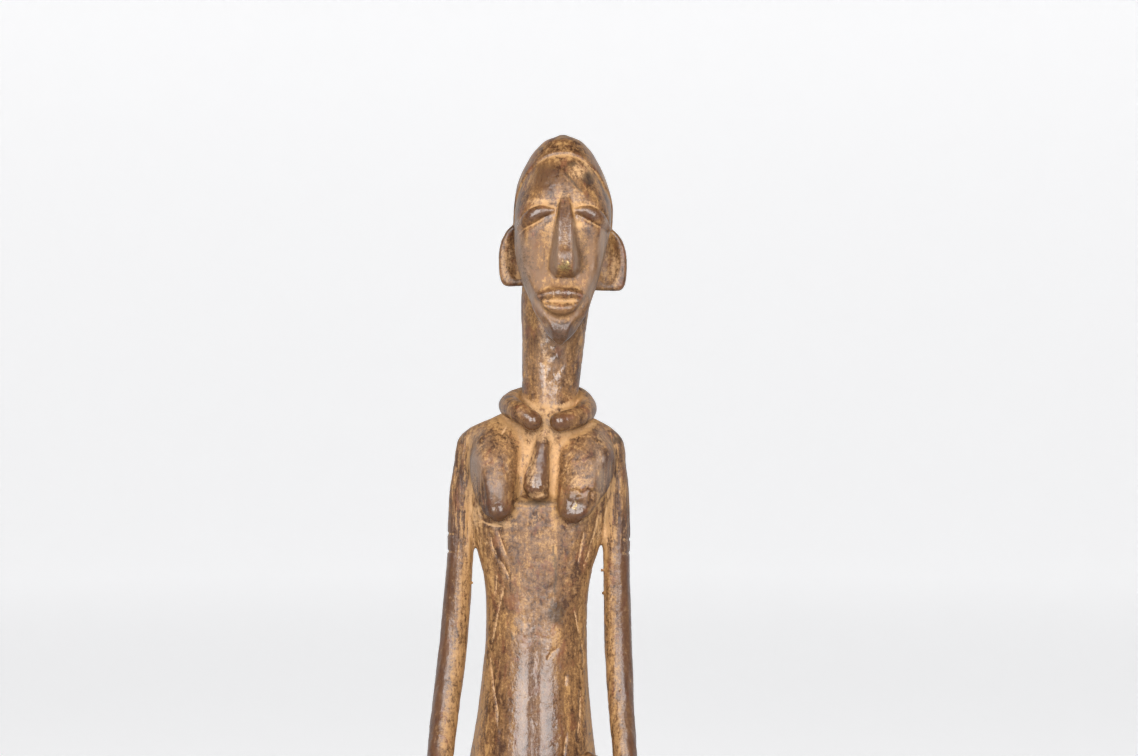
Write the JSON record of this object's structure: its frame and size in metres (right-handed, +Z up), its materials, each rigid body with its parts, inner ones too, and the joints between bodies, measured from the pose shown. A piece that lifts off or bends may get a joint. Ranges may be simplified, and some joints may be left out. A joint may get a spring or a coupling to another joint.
{
  "type": "dogon maternity figure",
  "caption": "Seated mother with a child astride her thigh, cast in copper alloy with a round stool and low oval base, for display on a shelf or plinth.",
  "frame": {"origin": "centre of the underside of the oval base", "axes": "+Z up, the mother faces -Y, and her own left side, with the child, is +X"},
  "size_m": [0.12, 0.136, 0.4785],
  "materials": {
    "patinated_bronze": "brown satin patina with ochre earth in the recesses, darker and smoother on the raised forms, bright metal only at the nose tip"
  },
  "bodies": {
    "root": {"maternity_figure": "patinated_bronze"}
  },
  "joints": []
}
